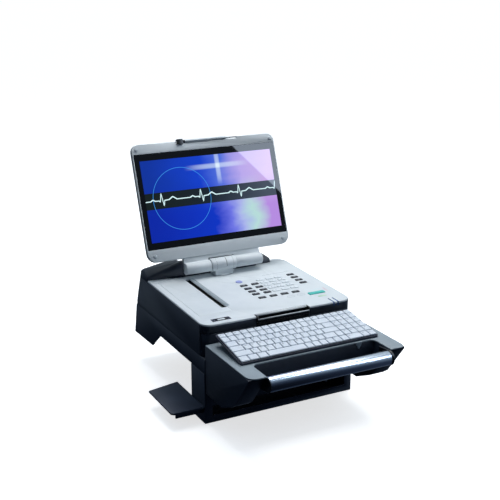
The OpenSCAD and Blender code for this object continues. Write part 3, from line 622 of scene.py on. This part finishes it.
def outside_edge(place, node, level, reach, flat, radii):
    """A test for edges near a node's rounded outline, at a level of one axis of a local frame.

    flat is the axis that the outline lies square to. radii are the outline's corner radii: low
    left, low right, high left and high right.
    """
    low, high = box_in(place, node)
    first, second = [i for i in range(3) if i != flat]
    middle, half = (low + high) / 2, (high - low) / 2
    back = place.inverted()

    def near(vertex):
        point = back @ vertex.co
        if abs(point[flat] - level) > reach:
            return False
        away = [abs(point[i] - middle[i]) - half[i] for i in (first, second)]
        corner = (1 if point[first] > middle[first] else 0) + (2 if point[second] > middle[second] else 0)
        radius = radii[corner]
        beyond = [max(value + radius, 0) for value in away]
        distance = math.hypot(*beyond) - radius if min(beyond) > 0 else max(away)
        return abs(distance) < 1.8 * MM

    return lambda edge: all(near(vertex) for vertex in edge.verts)


COVER_CORNER = 27 * MM
cover_rim = outside_edge(top, "top_cover", 0, 0.2 * MM, 2, (COVER_CORNER, COVER_CORNER, 1 * MM, 30 * MM))
soften("top_cover", FINE_EDGE, wide=cover_rim, wide_width=COVER_EDGE)
bezel_rim = outside_edge(display, "display_frame", 0, 0.2 * MM, 1, (25 * MM, 25 * MM, 20 * MM, 20 * MM))
soften("display_frame", FINE_EDGE, wide=bezel_rim, wide_width=BEZEL_EDGE)
tray_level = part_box("keyboard_case")[0].z
tray_rim = outside_edge(room, "tray_top", tray_level, 0.3 * MM, 2, (22 * MM, 16 * MM, 2 * MM, 2 * MM))
soften("tray_top", FINE_EDGE, wide=tray_rim, wide_width=RIM_EDGE)
for names, width, segments in (
    (["unit_base", "cradle", "tray_body", "rear_housing", "display_rear_shell", "column", "side_shelf"],
     EDGE, 2),
    (["hinge_barrels", "hinge_post", "handle_brackets", "handle_bar"], BAR_EDGE, 3),
    (["recorder_lid", "lid_arms", "side_panel", "mains_inlet", "keyboard_foot_left", "keyboard_foot_right"],
     FINE_EDGE, 2),
    (["lid_button_bezel", "keyboard_case", "status_lights"], FINE_EDGE, 3),
    (["patient_socket", "stylus_holder"], EDGE, 3),
):
    for name in names:
        soften(name, width, segments)


# ---- key caps ----

LEAST_RADIUS = 0.1 * MM
# Crown of a keypad's cap, and the hollow of a keyboard's, each with a hair's clearance for the ink
CROWN = 0.26 * MM
HOLLOW = 0.14 * MM
# Printed bars: width, depth, corner radius
KEYPAD_BAR = (7 * MM, 1.1 * MM, 0.5 * MM)
KEYBOARD_BAR = (4.4 * MM, 1.2 * MM, 0.5 * MM)


def caps(node, place, radius, slope, round_off, dish):
    """Key caps with sloping sides, rounded shoulders and a dished (or, below 0, domed) top."""
    mesh = bmesh.new()
    for low, high in solids_in(place, node):
        middle, size = (low + high) / 2, high - low
        span = min(size.x, size.y) / 2
        steps = [
            (0, low.z), (0, low.z + size.z * 0.35), (slope * 0.8, high.z - round_off),
            (slope + round_off * 0.3, high.z - round_off * 0.3), (slope + round_off, high.z),
            (span * 0.55, high.z - dish * 0.7), (span * 0.85, high.z - dish),
        ]
        loft(mesh, place, [
            rounded(middle, size.x - 2 * inset, size.y - 2 * inset,
                    max(min(radius, span - inset - LEAST_RADIUS), LEAST_RADIUS), z)
            for inset, z in steps
        ])
    stand_in(mesh, node, "_caps")


for name in ("function_keys", "letter_keys", "number_keys"):
    caps(name, board, radius=1.5 * MM, slope=1.1 * MM, round_off=0.5 * MM, dish=0.25 * MM)
for name in ("dark_keys", "white_keys", "side_keys", "bottom_keys", "start_key"):
    caps(name, top, radius=2.2 * MM, slope=0.25 * MM, round_off=0.6 * MM, dish=-0.25 * MM)


def power_button():
    """A round cap with a rolled rim and a shallow thumb hollow."""
    mesh = bmesh.new()
    low, high = box_in(top, "power_key")
    centre, radius = (low + high) / 2, (high.x - low.x) / 2
    loft(mesh, top, [
        circle(centre, radius * share, z) for share, z in (
            (1, low.z), (1, high.z - 0.8 * MM), (0.96, high.z - 0.2 * MM), (0.9, high.z),
            (0.8, high.z - 0.1 * MM), (0.5, high.z - 0.5 * MM), (0.1, high.z - 0.6 * MM))
    ])
    stand_in(mesh, "power_key", "_cap")
    return centre, radius, high.z


# ---- printed marks ----

def keypad_prints():
    """Small marks on the keypad: digits on the pale keys, bars on the dark ones."""
    digits = bmesh.new()
    labels = "0123456789*#+-="
    for label, (low, high) in zip(labels, solids_in(top, "white_keys")):
        place = facing(top, ((low.x + high.x) / 2, (low.y + high.y) / 2, high.z + CROWN))
        printed_letter(digits, place, (0, 0), label, 6 * MM)
    as_piece(digits, "pale_key_digits", dark_ink, body_of["white_keys"])
    for node in ("dark_keys", "side_keys", "bottom_keys"):
        bars = bmesh.new()
        for low, high in solids_in(top, node):
            middle = (low + high) / 2
            printed_bar(bars, facing(top, (middle.x, middle.y, high.z + CROWN)), (0, 0), *KEYPAD_BAR)
        as_piece(bars, node + "_marks", white_ink, body_of[node])


def power_mark():
    """The power symbol, a broken ring with a bar through the break."""
    centre, radius, level = power_button()
    mesh = bmesh.new()
    printed_arc(mesh, top, centre, radius * 0.42, 1 * MM, 125, 415, level + 0.02 * MM)
    place = facing(top, (centre.x, centre.y + radius * 0.4, level - 0.02 * MM))
    printed_bar(mesh, place, (0, 0), 1 * MM, 4.4 * MM, 0.4 * MM)
    as_piece(mesh, "power_symbol", blue_ink, body_of["power_key"])


def cover_prints():
    """Marks on the cover: a strip and two rings at the back, ovals and pastel tabs in front."""
    low, high = box_in(top, "start_key")
    start = (low + high) / 2
    face = facing(top, (0, 0, 0))
    greys, tabs = bmesh.new(), bmesh.new()
    printed_bar(greys, face, (118 * MM, 249 * MM), 68 * MM, 0.9 * MM, 0.4 * MM)
    for x in (157 * MM, 163 * MM):
        printed_outline(greys, face, (x, 251 * MM), 5 * MM, 5 * MM, 2.4 * MM, 0.6 * MM)
    for x in (75 * MM, 104 * MM):
        printed_outline(greys, face, (x, start.y + 5 * MM), 22 * MM, 9 * MM, 4.4 * MM, 0.6 * MM)
    as_piece(greys, "cover_grey_marks", grey_ink, "head")
    printed_bar(tabs, face, (start.x + 2 * MM, start.y - 24 * MM), 24 * MM, 7 * MM, 2 * MM)
    as_piece(tabs, "cover_green_tab", green_ink, "head")
    tabs = bmesh.new()
    printed_bar(tabs, face, (start.x + 34 * MM, start.y + 14 * MM), 2.4 * MM, 26 * MM, 1 * MM)
    as_piece(tabs, "cover_pink_line", pink_ink, "head")


ROWS = ["", "zxcvbnm,./", "asdfghjkl;'", "qwertyuiop[]", "1234567890-="]


def keyboard_prints():
    """Letters and digits at the upper left of the caps, and bars on the other keys."""
    mesh = bmesh.new()
    rows = {}
    for low, high in solids_in(board, "letter_keys"):
        rows.setdefault(round(low.y, 3), []).append((low, high))
    for number, key in enumerate(sorted(rows)):
        # Every row but the space bar's starts with a key that carries no letter
        keys = sorted(rows[key], key=lambda pair: pair[0].x)[min(number, 1):]
        for letter, (low, high) in zip(ROWS[number].upper(), keys):
            place = facing(board, (low.x + 5.5 * MM, high.y - 6 * MM, high.z - HOLLOW))
            printed_letter(mesh, place, (0, 0), letter, 5.5 * MM)
    as_piece(mesh, "letter_key_prints", dark_ink, body_of["letter_keys"])
    for node in ("function_keys", "number_keys"):
        marks = bmesh.new()
        for low, high in solids_in(board, node):
            place = facing(board, (low.x + 6 * MM, high.y - 6 * MM, high.z - HOLLOW))
            printed_bar(marks, place, (0, 0), *KEYBOARD_BAR)
        as_piece(marks, node + "_prints", dark_ink, body_of[node])


power_mark()
keypad_prints()
cover_prints()
keyboard_prints()


# ---- small fittings ----

def pen():
    """The touch pen: a grey barrel with a grip groove, a black tail and a tapered tip."""
    low, high = box_in(display, "stylus")
    axis = (low + high) / 2
    radius = (high.z - low.z) / 2
    place = facing(display, (low.x, axis.y, axis.z), (0, 1, 0), (0, 0, 1))
    length = high.x - low.x
    barrel, tail = bmesh.new(), bmesh.new()
    profile = [(0.13, 0.9), (0.14, 1), (0.6, 1), (0.605, 0.92), (0.63, 0.92), (0.635, 1), (0.86, 1),
               (0.93, 0.72), (0.985, 0.4), (1, 0.2)]
    loft(barrel, place, [circle((0, 0), radius * r, length * t) for t, r in profile])
    as_piece(barrel, "stylus_barrel", grey_abs, body_of["stylus"], ["stylus"])
    end = [(0, 0.5), (0.01, 0.85), (0.02, 0.97), (0.13, 0.97), (0.132, 0.8)]
    loft(tail, place, [circle((0, 0), radius * r, length * t) for t, r in end])
    as_piece(tail, "stylus_tail", black_abs, body_of["stylus"])


def screws(name, body, placed, radius, material):
    """A set of identical screws; placed gives a frame for each."""
    mesh = bmesh.new()
    for place in placed:
        socket_screw(mesh, place, (0, 0), radius)
    as_piece(mesh, name, material, body)


def rear_screws():
    """Screws at the back of the display: four for its shell and four for its hinge bracket."""
    low, high = box_in(display, "display_rear_shell")
    rim_back = low.y + 12.9 * MM
    corners = [(x, rim_back, z) for x in (low.x + 30 * MM, high.x - 30 * MM)
               for z in (low.z + 26 * MM, high.z - 26 * MM)]
    hub = [(x, high.y, z) for x in (-50 * MM, 50 * MM) for z in (110 * MM, 170 * MM)]
    for name, spots, radius, material, slot in (
        ("rear_shell_screws", corners, 3 * MM, black_abs, "black_plastic"),
        ("bracket_screws", hub, 3.4 * MM, bright_steel, "steel"),
    ):
        screws(name, "display", [facing(display, spot, (-1, 0, 0), (0, 0, 1)) for spot in spots], radius,
               material)


def panel_screws():
    """Screws at the corners of the socket panel, on the unit's right."""
    low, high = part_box("side_panel")
    inset = 5 * MM
    spots = [(high.x, y, z) for y in (low.y + inset, high.y - inset) for z in (low.z + inset, high.z - inset)]
    screws("socket_panel_screws", "head", [facing(room, spot, (0, 1, 0), (0, 0, 1)) for spot in spots],
           2.2 * MM, bright_steel)


def lead_socket_pins():
    """Fifteen gold-coloured pins in three rows, in the patient lead's socket."""
    mount = next(m for m in frame["record"]["mounts"] if m["name"] == "patient_socket")
    x, y, z = mount["pos_m"]
    place = facing(room, (x - 6 * MM, y, z), (0, 1, 0), (0, 0, 1))
    mesh = bmesh.new()
    for row in (-1, 0, 1):
        for column in (-2, -1, 0, 1, 2):
            at = (column * 3.4 * MM, row * 3.6 * MM)
            loft(mesh, place, [circle(at, 0.6 * MM * r, t * MM, 12)
                               for t, r in ((0, 1), (6, 1), (6.6, 0.7), (6.8, 0.3))])
    as_piece(mesh, "lead_socket_pins", turned_brass, "head")


def data_socket_inserts():
    """Plastic tongues inside the data sockets."""
    tongues = bmesh.new()
    for low, high in solids_in(room, "data_sockets"):
        middle, size = (low + high) / 2, high - low
        place = facing(room, (low.x + 2.2 * MM, middle.y, middle.z), (0, 1, 0), (0, 0, 1))
        thick = min(size.z * 0.26, 2 * MM)
        loft(tongues, place, [rounded((0, -size.z * 0.14), size.y * 0.72, thick, 0.3 * MM, z)
                              for z in (0, 9 * MM)])
    as_piece(tongues, "data_socket_tongues", blue_abs, "head")


def arc_band(mesh, place, radius, width, start, end, lift, steps=20):
    """A band wrapped round the local Z axis, from start to end in degrees, standing lift proud."""
    rings = []
    for i in range(steps + 1):
        angle = math.radians(start + (end - start) * i / steps)
        x, y = math.cos(angle), math.sin(angle)
        rings.append([
            (x * r, y * r, z) for r, z in (
                (radius - lift, -width / 2), (radius + lift, -width / 2), (radius + lift, width / 2),
                (radius - lift, width / 2))
        ])
    loft(mesh, place, rings)


def hinge_seams():
    """Parting lines of the fixed middle barrel: a slit over its top, and two faint rings."""
    low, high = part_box("hinge_post")
    axis = Vector(joints["display_tilt"]["pos_m"])
    radius = high.z - axis.z
    mesh = bmesh.new()
    slit = facing(room, (low.x + 42 * MM, axis.y, axis.z), (0, -1, 0), (0, 0, 1))
    arc_band(mesh, slit, radius, 1.5 * MM, -8, 78, 0.08 * MM)
    for x in (low.x + 14 * MM, high.x - 10 * MM):
        ring = facing(room, (x, axis.y, axis.z), (0, -1, 0), (0, 0, 1))
        arc_band(mesh, ring, radius, 0.35 * MM, -75, 85, 0.06 * MM)
    as_piece(mesh, "hinge_parting_lines", black_abs, "head")


def bumpers():
    """Domed rubber bumpers pushed into the corners of the display's frame."""
    mesh = bmesh.new()
    for low, high in solids_in(display, "display_bumpers"):
        middle, radius = (low + high) / 2, (high.x - low.x) / 2
        place = facing(display, (middle.x, high.y, middle.z), (1, 0, 0), (0, 0, 1))
        loft(mesh, place, [circle((0, 0), radius * r, (high.y - low.y) * t) for r, t in (
            (1, 0), (1, 0.2), (0.95, 0.5), (0.8, 0.8), (0.55, 0.95), (0.25, 1))])
    as_piece(mesh, "corner_bumpers", bumper_rubber, "display", ["display_bumpers"])


RIB_PITCH = 3 * MM


def tear_strip():
    """The printer's tear strip: a pale ribbed bar beside the slot, on a black body."""
    body, mesh = bmesh.new(), bmesh.new()
    low, high = box_in(top, "tear_bar")
    middle, size = (low + high) / 2, high - low
    level = high.z - 0.7 * MM
    plate = level - 1 * MM
    for block, ends in ((body, (low.z, plate)), (mesh, (plate, level))):
        loft(block, top, [rounded(middle, size.x, size.y, 0.8 * MM, z) for z in ends])
    as_piece(body, "tear_strip_body", black_abs, "head")
    for i in range(int(size.y / RIB_PITCH)):
        at = (middle.x + 1 * MM, low.y + (i + 0.5) * RIB_PITCH)
        loft(mesh, top, [
            rounded(at, size.x - 3 * MM - inset, 1.7 * MM - inset, 0.3 * MM, z, 2)
            for inset, z in ((0, level - 0.2 * MM), (0.1 * MM, high.z - 0.2 * MM), (0.6 * MM, high.z))
        ])
        tooth = (low.x + 0.9 * MM, at[1])
        loft(mesh, top, [
            circle(tooth, r * MM, z, 6) for r, z in ((0.8, level - 0.2 * MM), (0.15, high.z - 0.05 * MM))
        ])
    as_piece(mesh, "ribbed_tear_strip", tear_grey, "head", ["tear_bar"])


def front_grip():
    """The black grip in the front lip: a trough and a bar, with painted highlights as pale strips on its sloping
    back and along the bar's rim.
    """
    mesh = bmesh.new()
    low, high = box_in(top, "front_grip")
    end = 3 * MM
    outer = [
        (12.8, -23.5), (12.8, 0.2), (12.2, 0.5), (11.6, 0.2), (7.8, -3.4), (7.6, -17), (0.6, -17),
        (0.4, -8.4), (-0.4, -7), (-1.8, -6.4), (-3.8, -6.4), (-4.8, -7.2), (-5, -8.6), (-5, -13),
        (-4.6, -14.6), (-3, -15.4), (0, -18), (0.8, -23.5),
    ]
    xs = (low.x + end, high.x - end)
    loft(mesh, top, [[(x, y * MM, z * MM) for y, z in outer] for x in xs])
    cheek = [(12.8, -23.5), (12.8, 0.2), (12.2, 0.5), (-2.8, 0.3), (-4.4, -0.6), (-5, -2.4), (-4.8, -6.6),
             (-3.6, -8.2), (0.8, -9.2), (1, -23.5)]
    for x in (low.x, high.x - end):
        loft(mesh, top, [[(x + d, y * MM, z * MM) for y, z in cheek] for d in (0, end)])
    piece = as_piece(mesh, "front_grip_bar", black_abs, "head", ["front_grip"])
    round_edges(piece, 0.5 * MM, 3)
    # Painted highlights: pale strips on the trough's sloping back and along the bar's rim, where light catches
    # these faces
    painted_highlight_strips = bmesh.new()
    slope = [(11.4, 0.3), (10.6, 0.3), (7.6, -2.6), (7.8, -3.6), (11.4, -0.6)]
    rim = [(-3.4, -6.1), (-4.7, -6.3), (-5, -7), (-5, -8), (-4.4, -7.8), (-3.4, -6.8)]
    for outline in (slope, rim):
        loft(painted_highlight_strips, top, [[(x, y * MM, z * MM) for y, z in outline] for x in xs])
    as_piece(painted_highlight_strips, "front_grip_painted_highlights", pale_abs, "head")


def seams():
    """The vertical parting line at the front left corner of the lower body."""
    mesh = bmesh.new()
    low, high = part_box("unit_base")
    place = facing(room, (low.x, low.y + 24 * MM, 0), (0, -1, 0), (0, 0, 1))
    loft(mesh, place, [
        rounded((0, (low.z + high.z) / 2 - 8 * MM), 0.9 * MM, (high.z - low.z) - 30 * MM, 0.4 * MM, z)
        for z in (-0.1 * MM, 0.06 * MM)
    ])
    as_piece(mesh, "corner_parting_line", black_abs, "head")


# How far the bands on the cover's lip stand proud and are sunk in, and their heights
BAND_PROUD = 0.35 * MM
SUNK = 0.2 * MM
BAND_TOP = -4.4 * MM
BAND_FOOT = -23.6 * MM


def front_bands():
    """Dark navy bands over the cover's front lip, on both sides of the grip and round its corners."""
    mesh = bmesh.new()
    low, high = box_in(top, "top_cover")
    grip_low, grip_high = box_in(top, "front_grip")
    radius, lip_end, gap = COVER_CORNER, 18 * MM, 0.6 * MM
    start = math.asin((radius - lip_end) / radius)
    for side, edge, inner in ((-1, low.x, grip_low.x - gap), (1, high.x, grip_high.x + gap)):
        turns = [start + (math.pi / 2 - start) * i / 10 for i in range(11)]
        bend = [(edge - side * radius * (1 - math.cos(turn)), radius * (1 - math.sin(turn)),
                 side * math.cos(turn), -math.sin(turn)) for turn in turns]
        rings = [
            [(x + nx * out, low.y + y + ny * out, z) for out, z in (
                (-SUNK, BAND_TOP), (BAND_PROUD * 0.6, BAND_TOP), (BAND_PROUD, BAND_TOP - 0.5 * MM),
                (BAND_PROUD, BAND_FOOT), (-SUNK, BAND_FOOT))]
            for x, y, nx, ny in bend + [(inner, 0, 0, -1)]
        ]
        loft(mesh, top, rings)
    as_piece(mesh, "cover_front_bands", navy_abs, "head")


def lid_release():
    """The lid's release button: a black rocker body with a pale pad on it."""
    low, high = box_in(top, "lid_button")
    middle, size = (low + high) / 2, high - low
    body, pad = bmesh.new(), bmesh.new()
    loft(body, top, [rounded(middle, size.x - 2 * inset, size.y - 2 * inset, 2 * MM, z) for inset, z in (
        (0, low.z), (0, high.z - 1.8 * MM), (0.5 * MM, high.z - 1.4 * MM))])
    at = (middle.x, middle.y - 1.1 * MM)
    loft(pad, top, [rounded(at, size.x - 13 * MM - 2 * inset, size.y - 3 * MM - 2 * inset, 1.6 * MM, z)
                    for inset, z in ((0, high.z - 1.9 * MM), (0, high.z - 0.6 * MM), (0.6 * MM, high.z))])
    as_piece(body, "lid_release_body", black_abs, body_of["lid_button"])
    as_piece(pad, "lid_release_pad", pale_abs, body_of["lid_button"], ["lid_button"])


def keyboard_rest():
    """A small pale hook on the edge of the tray's opening, under the keyboard."""
    mesh = bmesh.new()
    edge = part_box("tray_top")
    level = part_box("keyboard_case")[0].z
    place = facing(room, (120 * MM, edge[0].y + 71 * MM, level))
    loft(mesh, place, [
        rounded((0, -2.2 * MM), width * MM, 3 * MM, 0.9 * MM, z * MM)
        for width, z in ((4, -15), (5, -14), (8, -10), (14, -6.5), (15, -4), (15, -1), (14, 0.6), (12, 1))
    ])
    as_piece(mesh, "keyboard_rest_hook", tray_abs, "head")


pen()
rear_screws()
panel_screws()
lead_socket_pins()
data_socket_inserts()
seams()
keyboard_rest()
front_bands()
lid_release()
hinge_seams()
bumpers()
tear_strip()
front_grip()


# ---- floor, light and camera ----

def floor():
    """A plain pale sweep, wide enough to fill the view."""
    mesh = bmesh.new()
    bmesh.ops.create_grid(mesh, x_segments=2, y_segments=2, size=60)
    data = bpy.data.meshes.new("floor")
    mesh.to_mesh(data)
    mesh.free()
    ground = bpy.data.objects.new("floor", data)
    ground.location.z = -0.2 * MM
    ground.visible_diffuse = False
    ground.visible_glossy = False
    scene.collection.objects.link(ground)
    material, place = blank("matte_white_floor")
    grain = add(material, "TexNoise", Vector=place, Scale=900.0)
    bump = add(material, "Bump", Height=(grain, 0), Strength=0.1, Distance=0.1 * MM)
    skin = add(material, "BsdfPrincipled", Base_Color=linear("#f2f4f6"), Roughness=0.8,
               Normal=(bump, 0), Emission_Color=linear("#ffffff"), Emission_Strength=0.7)
    add(material, "OutputMaterial", Surface=(skin, 0))
    data.materials.append(material)


def softbox(name, at, across, up, width, height, power, colour):
    """A rectangular soft light whose face is spanned by two directions."""
    data = bpy.data.lights.new(name, "AREA")
    data.shape = "RECTANGLE"
    data.size, data.size_y = width, height
    data.energy = power
    data.color = linear(colour)[:3]
    light = bpy.data.objects.new(name, data)
    light.matrix_world = local_frame(at, across, up)
    light.visible_camera = False
    scene.collection.objects.link(light)
    return light


def studio():
    """A broad light overhead, a softbox that only the gloss sees, and a dim cool room."""
    softbox("overhead", (0.4, 0.4, 1.9), across=(1, 0, -0.12), up=(0, 1, 0.05), width=1.8, height=1.3,
            power=30, colour="#fffdfb")
    mirrored = softbox("mirrored_softbox", (1.17, -1.01, 1.80), across=(0.63, -0.17, -0.76),
                       up=(0.75, 0.37, 0.54), width=1.6, height=0.9, power=30, colour="#d6e6fa")
    mirrored.visible_diffuse = False
    world = bpy.data.worlds.new("dim_room")
    world.use_nodes = True
    world.node_tree.nodes.clear()
    place = add(world, "TexCoord")
    lean = add(world, "VectorMath", operation="DOT_PRODUCT", in_0=(place, "Generated"),
               in_1=(0.55, 0.45, 0.7))
    lift = add(world, "MapRange", Value=(lean, "Value"), From_Min=-1.0)
    sky = add(world, "ValToRGB", Fac=(lift, 0), stops=[
        (0.2, "#0c111b"), (0.45, "#2f3a4e"), (0.7, "#8798a8"), (0.95, "#c6d4de")])
    glow = add(world, "Background", Color=(sky, 0), Strength=1.0)
    add(world, "OutputWorld", Surface=(glow, 0))
    scene.world = world


def camera():
    """The camera: high on the left, with a long lens, looking down to the right."""
    data = bpy.data.cameras.new("camera")
    data.lens = 67.87
    data.sensor_width = 36
    eye = bpy.data.objects.new("camera", data)
    eye.location = (-1.0553, -1.8788, 1.0407)
    pitch, heading = 73.26, -27.785
    eye.rotation_euler = (math.radians(pitch), 0, math.radians(heading))
    scene.collection.objects.link(eye)
    scene.camera = eye


floor()
studio()
camera()
scene.view_settings.view_transform = "Standard"
